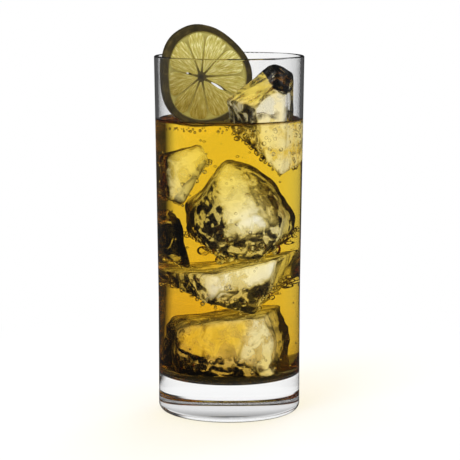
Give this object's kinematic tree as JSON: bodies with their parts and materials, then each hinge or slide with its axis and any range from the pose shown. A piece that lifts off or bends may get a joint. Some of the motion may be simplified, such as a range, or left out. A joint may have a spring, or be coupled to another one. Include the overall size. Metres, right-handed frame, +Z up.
{
  "type": "long drink in a tall glass",
  "caption": "Tall straight-sided tumbler of amber long drink, with a block of ice standing out of the surface and a round of citrus against the wall.",
  "frame": {"origin": "centre of the tumbler's foot, on the surface that it stands on", "axes": "+Z up along the tumbler's axis; the round of citrus stands at -X, the block of ice at +X, and -Y is the front"},
  "size_m": [0.066, 0.066, 0.1719],
  "materials": {
    "clear_glass": "polished clear glass",
    "amber_drink": "clear amber liquid",
    "ice": "clear wet ice",
    "citrus": "moist citrus flesh in a dark green rind"
  },
  "bodies": {
    "root": {"glass": "clear_glass", "drink": "amber_drink", "ice_block": "ice", "citrus_slice": "citrus"}
  },
  "joints": []
}
